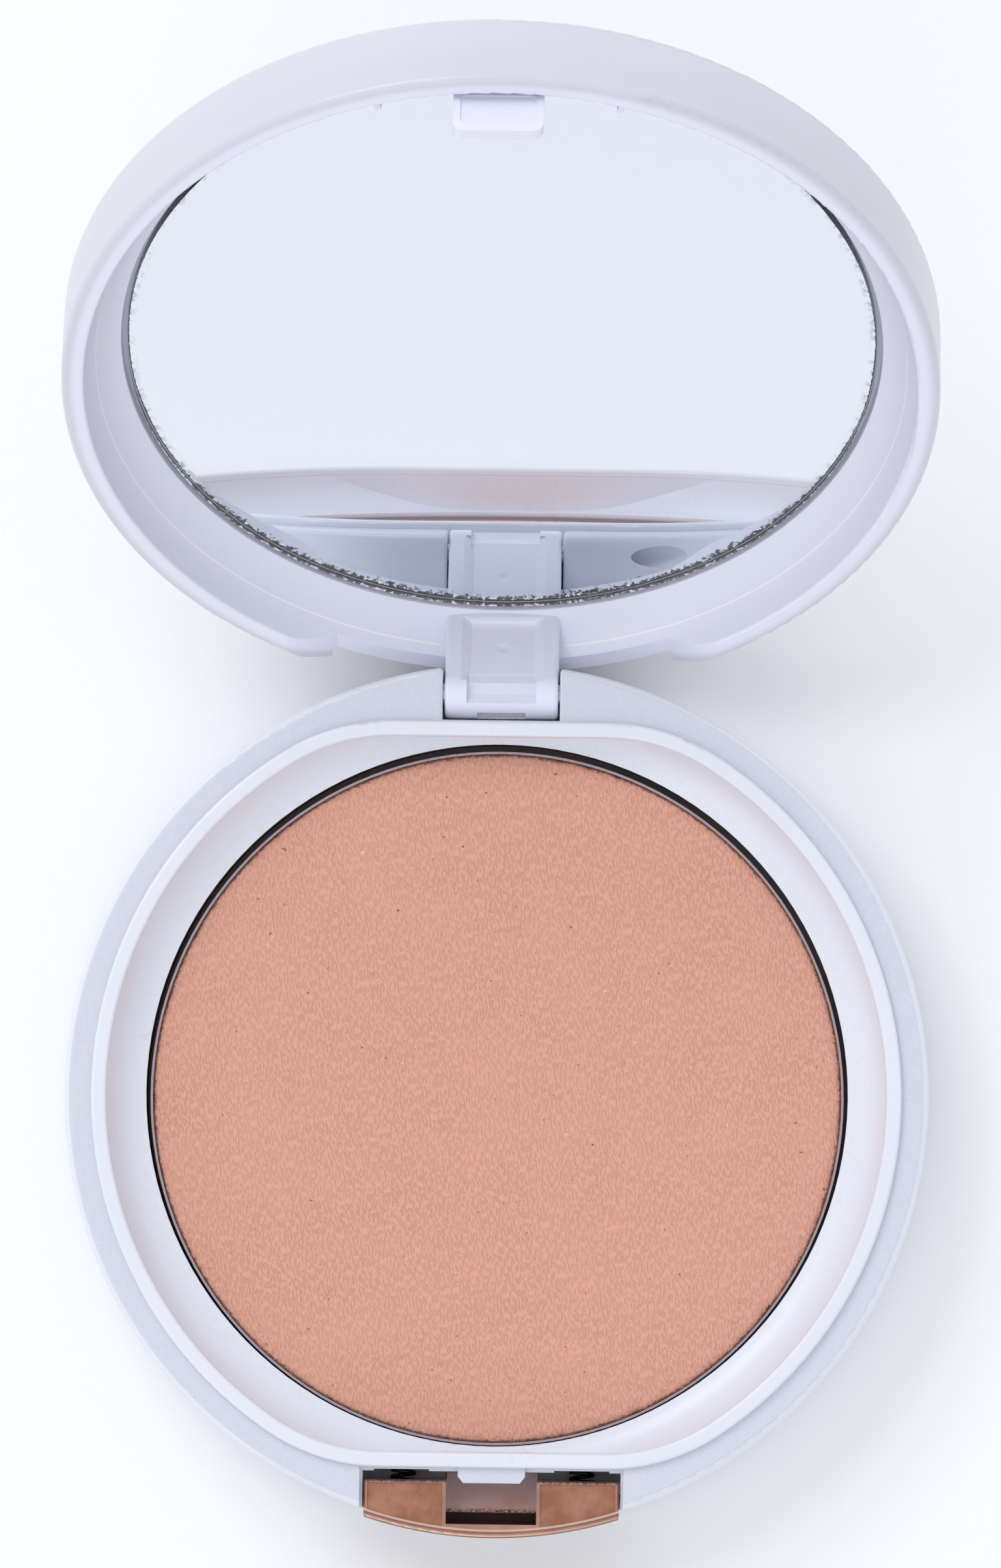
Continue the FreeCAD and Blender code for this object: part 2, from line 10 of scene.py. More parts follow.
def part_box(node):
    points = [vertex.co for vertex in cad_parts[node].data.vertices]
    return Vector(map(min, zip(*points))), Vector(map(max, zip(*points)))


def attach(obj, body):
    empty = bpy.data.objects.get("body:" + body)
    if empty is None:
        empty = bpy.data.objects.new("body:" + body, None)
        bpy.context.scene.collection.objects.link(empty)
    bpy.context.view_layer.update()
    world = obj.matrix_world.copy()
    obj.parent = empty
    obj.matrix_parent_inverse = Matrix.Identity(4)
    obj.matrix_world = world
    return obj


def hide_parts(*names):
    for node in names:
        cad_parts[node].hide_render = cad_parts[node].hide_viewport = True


MM = 0.001
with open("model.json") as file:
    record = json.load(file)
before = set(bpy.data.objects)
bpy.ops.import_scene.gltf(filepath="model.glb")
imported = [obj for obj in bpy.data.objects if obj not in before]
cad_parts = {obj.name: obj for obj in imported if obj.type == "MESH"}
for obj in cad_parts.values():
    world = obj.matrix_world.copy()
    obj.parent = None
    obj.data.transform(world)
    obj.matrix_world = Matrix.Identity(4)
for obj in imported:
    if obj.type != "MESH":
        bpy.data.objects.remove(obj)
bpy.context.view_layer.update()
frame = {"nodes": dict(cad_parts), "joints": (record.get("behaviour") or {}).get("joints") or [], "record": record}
nodes = frame["nodes"]

# --- where things are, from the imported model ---
HINGE = next(j for j in frame["joints"] if j["name"] == "lid_hinge")
HINGE_AT = Vector(HINGE["pos_m"])
OPEN_ANGLE = math.radians(-HINGE["range_deg"][0])
COLLAR_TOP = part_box("base_shell")[1].z
CAKE_LOW, CAKE_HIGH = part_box("pressed_powder")
CAKE_CENTRE = Vector(((CAKE_LOW.x + CAKE_HIGH.x) / 2, (CAKE_LOW.y + CAKE_HIGH.y) / 2, 0))
CAKE_R = (CAKE_HIGH.x - CAKE_LOW.x) / 2
BUTTON_LOW, BUTTON_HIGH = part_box("push_button")
MIRROR_LOW, MIRROR_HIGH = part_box("mirror_glass")
MIRROR_CENTRE = (MIRROR_LOW + MIRROR_HIGH) / 2
MIRROR_R = (MIRROR_HIGH.x - MIRROR_LOW.x) / 2
OPEN_TURN = Matrix.Rotation(-OPEN_ANGLE, 3, "X")
MIRROR_FACING = OPEN_TURN @ Vector((0, 0, -1))
MIRROR_TO_HINGE = OPEN_TURN @ Vector((0, 1, 0))

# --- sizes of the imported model's details, which its boxes don't give ---
RIM_TOP = COLLAR_TOP - 0.65 * MM
WELL_LOW_R = 29.4 * MM
WELL_HIGH_R = 32.6 * MM
WELL_EDGE_Z = 7.1 * MM
BUTTON_BACK = -32.55 * MM
CATCH_GAP_HALF = 3.86 * MM
RAMP_Y = -35.35 * MM
RAMP_TOP = 7.5 * MM
GUTTER_Y = -36.32 * MM
NOSE_R = 35.4 * MM
NOSE_CENTRE = (0, BUTTON_LOW.y + NOSE_R)
KNUCKLE_R = 2.11 * MM
ARM_HALF = 4.82 * MM
LID_WALL_R = 36.0 * MM
LID_OUTER_R = 36.9 * MM

# --- sizes of the surface details ---
CAKE_CROWN = 0.15 * MM
CAKE_SINK = 0.03 * MM
DASH_SLANT = math.radians(9)
WITNESS_HEIGHT = 3.0 * MM
WITNESS_WIDTH = 0.08 * MM
# Painted highlights and painted shade along the button's curved nose, standing in for the light on its curve:
# from, to, strength and colour.
NOSE_PAINTED_LINES = (
    (0.56 * MM, 0.70 * MM, 0.7, (0.86, 0.62, 0.54, 1)),
    (0.40 * MM, 0.50 * MM, 0.6, (0.20, 0.075, 0.06, 1)),
    (0.12 * MM, 0.24 * MM, 0.5, (0.85, 0.56, 0.46, 1)),
    (-0.1 * MM, 0.04 * MM, 0.6, (0.18, 0.07, 0.06, 1)),
)


# --- node materials ---
def add(tree, kind, inputs=None, **settings):
    """A new node, with its sockets set to numbers or linked to other nodes' sockets."""
    node = tree.nodes.new(kind)
    for key, value in settings.items():
        setattr(node, key, value)
    for key, value in (inputs or {}).items():
        if isinstance(value, bpy.types.NodeSocket):
            tree.links.new(value, node.inputs[key])
        else:
            node.inputs[key].default_value = value
    return node


def calc(tree, operation, *values):
    inputs = dict(enumerate(values))
    return add(tree, "ShaderNodeMath", inputs, operation=operation).outputs[0]


def product(tree, *values):
    result = values[-1]
    for value in reversed(values[:-1]):
        result = calc(tree, "MULTIPLY", value, result)
    return result


def inverse(tree, value):
    return calc(tree, "SUBTRACT", 1.0, value)


def vector_calc(tree, operation, first, second):
    """A calculation on two vectors, or for SCALE on a vector and a number."""
    inputs = {0: first, "Scale" if operation == "SCALE" else 1: second}
    outputs = add(tree, "ShaderNodeVectorMath", inputs, operation=operation).outputs
    return outputs["Value" if operation in ("DISTANCE", "DOT_PRODUCT") else "Vector"]


def span(tree, value, low, high):
    """0 below low, 1 above high, and a smooth step between them."""
    inputs = {"Value": value, "From Min": low, "From Max": high}
    return add(tree, "ShaderNodeMapRange", inputs, interpolation_type="SMOOTHSTEP").outputs[0]


def between(tree, value, low, high, soft):
    """1 between low and high, and 0 outside them."""
    return product(tree, span(tree, value, low - soft, low), span(tree, value, high + soft, high))


def tint(tree, factor, first, second):
    inputs = {"Factor": factor, 6: first, 7: second}
    return add(tree, "ShaderNodeMix", inputs, data_type="RGBA").outputs[2]


def lerp(tree, factor, first, second):
    inputs = {"Factor": factor, 2: first, 3: second}
    return add(tree, "ShaderNodeMix", inputs, data_type="FLOAT").outputs[0]


def place(tree):
    return add(tree, "ShaderNodeTexCoord").outputs["Object"]


def axes(tree, where):
    return add(tree, "ShaderNodeSeparateXYZ", {0: where}).outputs


def stretched(tree, where, scale, turn=0.0):
    """Coordinates turned about Z by turn, then scaled along each axis."""
    upright = add(tree, "ShaderNodeMapping", {"Vector": where, "Rotation": (0, 0, turn)}).outputs[0]
    return add(tree, "ShaderNodeMapping", {"Vector": upright, "Scale": scale}).outputs[0]


def speckle(tree, where, size, detail=2.0, rough=0.5):
    """Noise whose features are about size metres across."""
    inputs = {"Vector": where, "Scale": 1 / size, "Detail": detail, "Roughness": rough}
    return add(tree, "ShaderNodeTexNoise", inputs).outputs["Fac"]


def noise_at(tree, where, detail):
    """Noise of unit size, for coordinates that are scaled already."""
    inputs = {"Vector": where, "Scale": 1.0, "Detail": detail}
    return add(tree, "ShaderNodeTexNoise", inputs).outputs["Fac"]


def distance_from(tree, where, point):
    return vector_calc(tree, "DISTANCE", where, point)


def radius_about(tree, where, centre):
    """The distance from an upright axis through centre."""
    flat = vector_calc(tree, "MULTIPLY", where, (1, 1, 0))
    return distance_from(tree, flat, (centre[0], centre[1], 0))


def along_from_mirror(tree, where, direction):
    """How far a point lies from the mirror's middle along a direction."""
    reach = vector_calc(tree, "DOT_PRODUCT", where, direction)
    return calc(tree, "SUBTRACT", reach, MIRROR_CENTRE.dot(direction))


def bumped(tree, height, depth, strength=1.0, normal=None):
    inputs = {"Height": height, "Distance": depth, "Strength": strength}
    if normal is not None:
        inputs["Normal"] = normal
    return add(tree, "ShaderNodeBump", inputs).outputs[0]


def look(name, build):
    """A material whose tree is made by build(tree), which gives the Principled sockets' values."""
    material = bpy.data.materials.new(name)
    material.use_nodes = True
    tree = material.node_tree
    tree.nodes.clear()
    shader = add(tree, "ShaderNodeBsdfPrincipled", build(tree))
    output = add(tree, "ShaderNodeOutputMaterial")
    tree.links.new(shader.outputs[0], output.inputs[0])
    return material


def white_base(tree):
    where = place(tree)
    z = axes(tree, where)[2]
    r = radius_about(tree, where, (0, 0))
    on_rim = between(tree, z, RIM_TOP - 0.03 * MM, RIM_TOP + 0.03 * MM, 0.04 * MM)
    grain = speckle(tree, where, 0.22 * MM, 3, 0.6)
    flow = speckle(tree, where, 9 * MM, 2, 0.4)
    in_well = inverse(tree, span(tree, r, WELL_LOW_R, WELL_HIGH_R))
    dust_spots = span(tree, speckle(tree, where, 0.5 * MM, 4, 0.75), 0.52, 0.78)
    dust = product(tree, dust_spots, in_well, 0.45)
    shade = tint(tree, flow, (0.76, 0.785, 0.86, 1), (0.80, 0.82, 0.885, 1))
    frosted = tint(tree, grain, (0.59, 0.615, 0.70, 1), (0.72, 0.735, 0.81, 1))
    colour = tint(tree, on_rim, shade, frosted)
    colour = tint(tree, dust, colour, (0.74, 0.44, 0.33, 1))
    # Painted shade: the well wall below the pan's rim is darkened to dark brown, standing in for the shadowed gap
    # around the pan.
    well_painted_shade = product(tree, inverse(tree, span(tree, z, 6.6 * MM, WELL_EDGE_Z)), in_well)
    colour = tint(tree, well_painted_shade, colour, (0.20, 0.13, 0.12, 1))
    fine = bumped(tree, grain, lerp(tree, on_rim, 0.004 * MM, 0.03 * MM), 0.8)
    return {
        "Base Color": colour,
        "Roughness": lerp(tree, on_rim, lerp(tree, flow, 0.24, 0.34), 0.5),
        "Normal": bumped(tree, flow, 0.05 * MM, 0.4, fine),
        "Subsurface Weight": 0.08,
        "Subsurface Radius": (1.0, 0.9, 0.9),
        "Subsurface Scale": 1.5 * MM,
    }


def lid_crown_normal(tree, where):
    """The surface normal, held level across the middle of the lid's crowned top."""
    offset = vector_calc(tree, "SUBTRACT", where, MIRROR_CENTRE)
    height = vector_calc(tree, "DOT_PRODUCT", offset, MIRROR_FACING)
    from_axis = distance_from(tree, offset, vector_calc(tree, "SCALE", MIRROR_FACING, height))
    behind_mirror = calc(tree, "LESS_THAN", height, -1.0 * MM)
    middle = product(tree, inverse(tree, span(tree, from_axis, 5 * MM, 8 * MM)), behind_mirror)
    settings = {"vector_type": "NORMAL", "convert_from": "OBJECT", "convert_to": "WORLD"}
    outward = add(tree, "ShaderNodeVectorTransform", {0: -MIRROR_FACING}, **settings).outputs[0]
    own = add(tree, "ShaderNodeNewGeometry").outputs["Normal"]
    inputs = {0: middle, 4: own, 5: outward}
    return add(tree, "ShaderNodeMix", inputs, data_type="VECTOR").outputs[1]


def white_lid(tree):
    where = place(tree)
    seen_from = distance_from(tree, where, MIRROR_CENTRE)
    inside = inverse(tree, span(tree, seen_from, LID_WALL_R, LID_OUTER_R))
    grain = speckle(tree, where, 0.2 * MM, 3, 0.6)
    flow = speckle(tree, where, 11 * MM, 2, 0.4)
    # Painted shade: the lid's outside takes a darker copy of the same white plastic as the inside, standing in for
    # the shade on it.
    outside_painted_shade = tint(tree, flow, (0.64, 0.625, 0.70, 1), (0.68, 0.665, 0.73, 1))
    inside_shade = tint(tree, grain, (0.79, 0.80, 0.915, 1), (0.84, 0.845, 0.95, 1))
    # The witness line is a small bumped ridge, and is also painted near-white along its length as a painted
    # highlight.
    above_mirror = along_from_mirror(tree, where, MIRROR_FACING)
    top = WITNESS_HEIGHT + WITNESS_WIDTH
    witness_ridge_and_highlight = between(tree, above_mirror, WITNESS_HEIGHT, top, 0.05 * MM)
    away = calc(tree, "ABSOLUTE", axes(tree, where)[0])
    off_arm = span(tree, away, ARM_HALF + 0.38 * MM, ARM_HALF + 0.78 * MM)
    witness_ridge_and_highlight = product(tree, witness_ridge_and_highlight, inside, off_arm)
    grain_depth = lerp(tree, inside, 0.002 * MM, 0.02 * MM)
    fine = bumped(tree, grain, grain_depth, 0.7, lid_crown_normal(tree, where))
    fine = bumped(tree, witness_ridge_and_highlight, 0.01 * MM, 0.4, fine)
    # Painted shade: darker white outside, lighter white inside.
    shade = tint(tree, inside, outside_painted_shade, inside_shade)
    return {
        "Base Color": tint(tree, product(tree, witness_ridge_and_highlight, 0.7), shade, (1.0, 1.0, 1.0, 1)),
        "Roughness": lerp(tree, inside, lerp(tree, flow, 0.26, 0.33), 0.42),
        "Normal": bumped(tree, flow, 0.05 * MM, 0.4, fine),
        "Subsurface Weight": 0.08,
        "Subsurface Radius": (1.0, 0.9, 0.9),
        "Subsurface Scale": 1.5 * MM,
    }


def pressed_peach(tree):
    where = place(tree)
    broad = {"Vector": where, "Scale": 0.5 / MM, "Detail": 1.0}
    wander = add(tree, "ShaderNodeTexNoise", broad).outputs["Color"]
    bent = vector_calc(tree, "ADD", where, vector_calc(tree, "SCALE", wander, 0.25 * MM))
    threads = stretched(tree, bent, (1 / (0.15 * MM), 1 / (0.55 * MM), 1), -DASH_SLANT)
    dents = span(tree, noise_at(tree, threads, 1.5), 0.46, 0.64)
    blotch = speckle(tree, where, 11 * MM, 3, 0.55)
    strength = lerp(tree, speckle(tree, where, 5 * MM, 2, 0.5), 0.5, 1.1)
    dust = speckle(tree, where, 0.08 * MM, 2, 0.7)
    specks = span(tree, speckle(tree, where, 0.42 * MM, 0.5, 0.5), 0.80, 0.825)
    glints = span(tree, speckle(tree, where, 0.33 * MM, 0.5, 0.5), 0.83, 0.85)
    colour = tint(tree, blotch, (0.735, 0.366, 0.265, 1), (0.755, 0.382, 0.281, 1))
    # Painted shade: the woven dents are darkened in colour as well as bumped.
    dent_painted_shade = product(tree, dents, lerp(tree, strength, 0.06, 0.36))
    colour = tint(tree, dent_painted_shade, colour, (0.46, 0.20, 0.135, 1))
    colour = tint(tree, product(tree, dust, 0.16), colour, (0.86, 0.55, 0.43, 1))
    colour = tint(tree, product(tree, specks, 0.75), colour, (0.16, 0.04, 0.035, 1))
    # Painted shade: ragged near-black patches along the cake's edge, darkening the crumbly rim where shade falls.
    inset = calc(tree, "SUBTRACT", CAKE_R, radius_about(tree, where, CAKE_CENTRE))
    crumbs = speckle(tree, where, 0.4 * MM, 4, 0.7)
    crumbly_edge_painted_shade = calc(tree, "SUBTRACT", crumbs, product(tree, inset, 0.9 / MM))
    crumbly_edge_painted_shade = product(tree, span(tree, crumbly_edge_painted_shade, 0.30, 0.42), 0.6)
    colour = tint(tree, crumbly_edge_painted_shade, colour, (0.10, 0.035, 0.03, 1))
    colour = tint(tree, product(tree, glints, 0.7), colour, (1.0, 0.86, 0.74, 1))
    height = inverse(tree, product(tree, dents, strength))
    woven = bumped(tree, height, 0.05 * MM, 1.0)
    return {
        "Base Color": colour,
        "Roughness": lerp(tree, dust, 0.78, 0.95),
        "Normal": bumped(tree, dust, 0.012 * MM, 0.7, woven),
        "Sheen Weight": 0.1,
        "Sheen Roughness": 0.5,
        "Specular IOR Level": 0.2,
    }


def pan_metal(tree):
    where = place(tree)
    r = radius_about(tree, where, CAKE_CENTRE)
    rings = add(tree, "ShaderNodeCombineXYZ", {0: r, 2: axes(tree, where)[2]}).outputs[0]
    drawn = speckle(tree, rings, 0.03 * MM, 2, 0.5)
    dust = span(tree, speckle(tree, where, 0.35 * MM, 4, 0.7), 0.46, 0.66)
    return {
        "Base Color": tint(tree, dust, (0.42, 0.37, 0.43, 1), (0.50, 0.28, 0.23, 1)),
        "Metallic": lerp(tree, dust, 1.0, 0.25),
        "Roughness": lerp(tree, dust, lerp(tree, drawn, 0.25, 0.4), 0.7),
        "Normal": bumped(tree, drawn, 0.004 * MM, 0.6),
    }


def rose_gold(tree):
    where = place(tree)
    x, y, z = axes(tree, where)[0:3]
    top = BUTTON_HIGH.z
    away = calc(tree, "ABSOLUTE", x)
    in_gap = inverse(tree, span(tree, away, CATCH_GAP_HALF, CATCH_GAP_HALF + 0.04 * MM))
    on_panel = between(tree, z, top - 0.26 * MM, top - 0.2 * MM, 0.02 * MM)
    low = inverse(tree, span(tree, z, RAMP_TOP, RAMP_TOP + 0.2 * MM))
    on_ramp = product(tree, in_gap, low, span(tree, y, RAMP_Y, RAMP_Y + 0.05 * MM))
    satin = speckle(tree, where, 0.05 * MM, 2, 0.6)
    flow = speckle(tree, where, 2.2 * MM, 3, 0.55)
    brushed = stretched(tree, where, (1 / (0.12 * MM), 1 / (1.8 * MM), 1), math.radians(8))
    mottle = lerp(tree, 0.18, flow, noise_at(tree, brushed, 2.0))
    # Near-white painted sparkle for the ramp's flanks.
    sparkle = span(tree, speckle(tree, where, 0.13 * MM, 3, 0.8), 0.5, 0.66)
    flank_painted_sparkle = product(tree, span(tree, away, 2.2 * MM, 3.6 * MM), sparkle)
    # Painted shade: ragged near-black lines along the button's top back edge and along the foot of the ramp, where
    # shade falls, also made non-metallic.
    fray_noise = span(tree, speckle(tree, where, 0.24 * MM, 5, 0.85), 0.46, 0.52)
    back = span(tree, y, BUTTON_BACK - 0.42 * MM, BUTTON_BACK - 0.1 * MM)
    high = span(tree, z, top - 0.6 * MM, top - 0.3 * MM)
    ramp_foot = between(tree, y, RAMP_Y - 1 * MM, RAMP_Y + 0.12 * MM, 0.35 * MM)
    shaded_edges = calc(tree, "ADD", product(tree, back, high), product(tree, on_ramp, ramp_foot))
    ragged_painted_shade = product(tree, fray_noise, shaded_edges)
    mottle = span(tree, mottle, 0.32, 0.68)
    metal = tint(tree, mottle, (0.34, 0.145, 0.088, 1), (0.50, 0.235, 0.15, 1))
    # Painted highlight: a light pink line along the top border of the panels.
    border_painted_highlight = product(tree, span(tree, z, top - 0.17 * MM, top - 0.1 * MM), 0.22)
    metal = tint(tree, border_painted_highlight, metal, (0.80, 0.55, 0.46, 1))
    # Painted shadow: a dark line along the panels' step, just below the border.
    step = between(tree, z, top - 0.19 * MM, top - 0.08 * MM, 0.03 * MM)
    metal = tint(tree, product(tree, step, 0.55), metal, (0.16, 0.055, 0.045, 1))
    nose_in = calc(tree, "SUBTRACT", NOSE_R, radius_about(tree, where, NOSE_CENTRE))
    # Paint the nose's highlight and shade lines into the metal colour.
    for start, end, amount, shade in NOSE_PAINTED_LINES:
        line = between(tree, nose_in, start, end, 0.04 * MM)
        metal = tint(tree, product(tree, line, amount), metal, shade)
    # Painted reflection: the ramp is the same rose-gold plating as the rest of the button, painted light pink to
    # near-white, lighter towards its back, with painted sparkle on its flanks, standing in for the sky it
    # reflects.
    middle = tint(tree, span(tree, flow, 0.35, 0.65), (0.98, 0.58, 0.45, 1), (1.0, 0.76, 0.68, 1))
    ramp_painted_reflection = tint(tree, span(tree, y, RAMP_Y, RAMP_Y + 3.2 * MM), middle, (1.0, 0.86, 0.84, 1))
    ramp_painted_reflection = tint(tree, flank_painted_sparkle, ramp_painted_reflection, (1.0, 0.97, 1.0, 1))
    colour = tint(tree, on_ramp, metal, ramp_painted_reflection)
    # Painted shade: the deep gutter in front of the ramp is painted dark and made mostly non-metallic, standing in
    # for its shadow.
    before_ramp = inverse(tree, span(tree, y, RAMP_Y - 0.05 * MM, RAMP_Y))
    behind_wall = span(tree, y, GUTTER_Y, GUTTER_Y + 0.02 * MM)
    gutter_painted_shade = product(tree, in_gap, before_ramp, low, behind_wall)
    colour = tint(tree, gutter_painted_shade, colour, (0.30, 0.20, 0.19, 1))
    colour = tint(tree, ragged_painted_shade, colour, (0.03, 0.017, 0.016, 1))
    metallic = lerp(tree, on_ramp, lerp(tree, gutter_painted_shade, 1.0, 0.08), 0.6)
    polished = lerp(tree, on_ramp, lerp(tree, flow, 0.1, 0.2), 0.3)
    return {
        "Base Color": colour,
        "Metallic": lerp(tree, ragged_painted_shade, metallic, 0.1),
        "Roughness": lerp(tree, on_panel, polished, 0.4),
        "Normal": bumped(tree, satin, lerp(tree, on_panel, 0.001 * MM, 0.008 * MM), 0.7),
        "Coat Weight": 0.3,
        "Coat Roughness": 0.1,
    }


def music_wire(tree):
    where = place(tree)
    drawn = noise_at(tree, stretched(tree, where, (9000, 9000, 2000)), 3.0)
    return {
        "Base Color": tint(tree, drawn, (0.05, 0.048, 0.052, 1), (0.10, 0.095, 0.10, 1)),
        "Metallic": 1.0,
        "Roughness": lerp(tree, drawn, 0.3, 0.5),
        "Normal": bumped(tree, drawn, 0.003 * MM, 0.5),
    }


def drawn_steel(tree):
    where = place(tree)
    drawn = noise_at(tree, stretched(tree, where, (600, 16000, 16000)), 3.0)
    return {
        "Base Color": tint(tree, drawn, (0.52, 0.52, 0.54, 1), (0.66, 0.66, 0.67, 1)),
        "Metallic": 1.0,
        "Roughness": lerp(tree, drawn, 0.18, 0.34),
        "Normal": bumped(tree, drawn, 0.003 * MM, 0.5),
    }


def float_glass(tree):
    where = place(tree)
    r = distance_from(tree, where, MIRROR_CENTRE)
    at_edge = span(tree, r, MIRROR_R - 0.03 * MM, MIRROR_R - 0.01 * MM)
    ground = span(tree, speckle(tree, where, 0.25 * MM, 4, 0.75), 0.5, 0.6)
    wave = speckle(tree, where, 18 * MM, 1, 0.4)
    return {
        "Base Color": tint(tree, at_edge, (0.985, 0.995, 1.0, 1), (0.80, 0.86, 0.88, 1)),
        "Roughness": lerp(tree, at_edge, 0.0, lerp(tree, ground, 0.02, 0.3)),
        "Transmission Weight": 1.0,
        "IOR": 1.5,
        "Normal": bumped(tree, wave, 0.002 * MM, 0.2),
    }


def dark_paint(tree):
    where = place(tree)
    cloud = speckle(tree, where, 0.9 * MM, 3, 0.6)
    return {
        "Base Color": tint(tree, cloud, (0.002, 0.002, 0.003, 1), (0.006, 0.006, 0.009, 1)),
        "Roughness": lerp(tree, cloud, 0.3, 0.5),
        "Specular IOR Level": 0.1,
        "Normal": bumped(tree, cloud, 0.01 * MM, 0.5),
    }


def silver_back(tree):
    where = place(tree)
    r = distance_from(tree, where, MIRROR_CENTRE)
    cloud = speckle(tree, where, 0.8 * MM, 4, 0.7)
    near_edge = span(tree, r, MIRROR_R - 0.9 * MM, MIRROR_R - 0.1 * MM)
    tarnish = product(tree, near_edge, span(tree, cloud, 0.48, 0.62))
    toward_hinge = along_from_mirror(tree, where, MIRROR_TO_HINGE)
    band = lerp(tree, span(tree, toward_hinge, 8 * MM, 30 * MM), 0.15 * MM, 0.8 * MM)
    depth_in = calc(tree, "DIVIDE", calc(tree, "SUBTRACT", MIRROR_R, r), band)
    flakes = speckle(tree, where, 0.45 * MM, 6, 0.75)
    flakes = calc(tree, "SUBTRACT", flakes, product(tree, depth_in, 0.2))
    bare = span(tree, flakes, 0.36, 0.38)
    colour = tint(tree, tarnish, (0.86, 0.885, 0.93, 1), (0.55, 0.56, 0.62, 1))
    return {
        "Base Color": tint(tree, bare, colour, (0.003, 0.003, 0.005, 1)),
        "Metallic": lerp(tree, bare, 1.0, 0.0),
        "Roughness": lerp(tree, tarnish, 0.0, 0.35),
    }


def soft_glue(tree):
    where = place(tree)
    cells = {"Vector": where, "Scale": 0.7 / MM}
    bubbles = add(tree, "ShaderNodeTexVoronoi", cells).outputs["Distance"]
    cloud = speckle(tree, where, 4 * MM, 2, 0.5)
    return {
        "Base Color": tint(tree, cloud, (0.66, 0.65, 0.58, 1), (0.78, 0.76, 0.70, 1)),
        "Roughness": lerp(tree, cloud, 0.35, 0.55),
        "Normal": bumped(tree, bubbles, 0.04 * MM, 0.5),
    }


def studio_floor(tree):
    where = place(tree)
    paper = speckle(tree, where, 1.5 * MM, 3, 0.6)
    return {
        "Base Color": tint(tree, paper, (0.93, 0.93, 0.935, 1), (0.95, 0.95, 0.955, 1)),
        "Roughness": lerp(tree, paper, 0.8, 0.9),
        "Normal": bumped(tree, paper, 0.02 * MM, 0.3),
    }


LOOKS = {
    "white_base": look("white_base_look", white_base),
    "white_lid": look("white_lid_look", white_lid),
    "powder": look("powder_look", pressed_peach),
    "pan_metal": look("pan_metal_look", pan_metal),
    "rose_gold": look("rose_gold_look", rose_gold),
    "steel": look("steel_look", drawn_steel),
    "mirror_glass": look("mirror_glass_look", float_glass),
    "silvering": look("silvering_look", silver_back),
    "adhesive": look("adhesive_look", soft_glue),
}
SPRING_LOOK = look("spring_look", music_wire)
for part in frame["record"]["subparts"]:
    materials = nodes[part["node"]].data.materials
    materials.clear()
    materials.append(LOOKS[part["material_slot"]])


# --- pieces built here ---
def piece(name, mesh, slot, body, smooth=True, material=None):
    """A mesh that rides on a body and takes its finish from a material slot."""
    made = bpy.data.objects.new(name, mesh)
    bpy.context.scene.collection.objects.link(made)
    mesh.materials.append(material or LOOKS[slot])
    for polygon in mesh.polygons:
        polygon.use_smooth = smooth
    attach(made, body)
    return made


def rings_mesh(name, rings):
    """A closed skin through rings of equal length, fanned shut at both ends."""
    shape = bmesh.new()
    rows = [[shape.verts.new(point) for point in ring] for ring in rings]
    count = len(rows[0])
    for inner, outer in zip(rows, rows[1:]):
        for i in range(count):
            j = (i + 1) % count
            shape.faces.new((inner[i], outer[i], outer[j], inner[j]))
    for row in (rows[0], rows[-1]):
        middle = shape.verts.new(sum((v.co for v in row), Vector()) / count)
        for i in range(count):
            shape.faces.new((row[i], row[(i + 1) % count], middle))
    bmesh.ops.recalc_face_normals(shape, faces=shape.faces)
    mesh = bpy.data.meshes.new(name)
    shape.to_mesh(mesh)
    shape.free()
    return mesh


def powder_cake():
    """The pressed cake: very slightly crowned and uneven, with a crumbly edge."""
    around = 720
    ring_gap = 0.3 * MM
    edge_z = CAKE_HIGH.z - CAKE_CROWN
    rings = []
    count = int(CAKE_R / ring_gap)
    for k in range(1, count + 1):
        r = CAKE_R * k / count
        ring = []
        for i in range(around):
            angle = 2 * math.pi * i / around
            x, y = r * math.cos(angle), r * math.sin(angle)
            broad = noise.noise(Vector((x, y, 0)) / (7 * MM)) * 0.03 * MM
            small = noise.noise(Vector((x, y, 3 * MM)) / (0.8 * MM)) * 0.012 * MM
            inset = CAKE_R - r
            chip = max(0.0, noise.noise(Vector((x, y, 9 * MM)) / (0.9 * MM)) - 0.15)
            fall = 0.22 * MM * (1 + 3 * chip) * math.exp(-((inset / (0.28 * MM)) ** 2))
            z = edge_z + CAKE_CROWN * (1 - (r / CAKE_R) ** 2) + broad + small - fall - CAKE_SINK
            ring.append(CAKE_CENTRE + Vector((x, y, z)))
        rings.append(ring)
    rim = rings[-1]
    rings.append([Vector((p.x, p.y, (p.z + CAKE_LOW.z) / 2)) for p in rim])
    rings.append([Vector((p.x, p.y, CAKE_LOW.z)) for p in rim])
    made = piece("powder_cake", rings_mesh("powder_cake", rings), "powder", "base")
    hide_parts("pressed_powder")


def thin_disc(name, edge, centre, low, high):
    """A disc in the lid's tilted plane, between two heights, from its radius at each angle."""
    rings = []
    for height, shares in ((low, (0.1, 0.5, 0.9, 1.0)), (high, (1.0, 0.9, 0.5, 0.1))):
        for share in shares:
            ring = []
            for i, r in enumerate(edge):
                angle = 2 * math.pi * i / len(edge)
                flat = Vector((r * share * math.cos(angle), r * share * math.sin(angle), height))
                ring.append(centre + OPEN_TURN @ flat)
            rings.append(ring)
    return rings_mesh(name, rings)


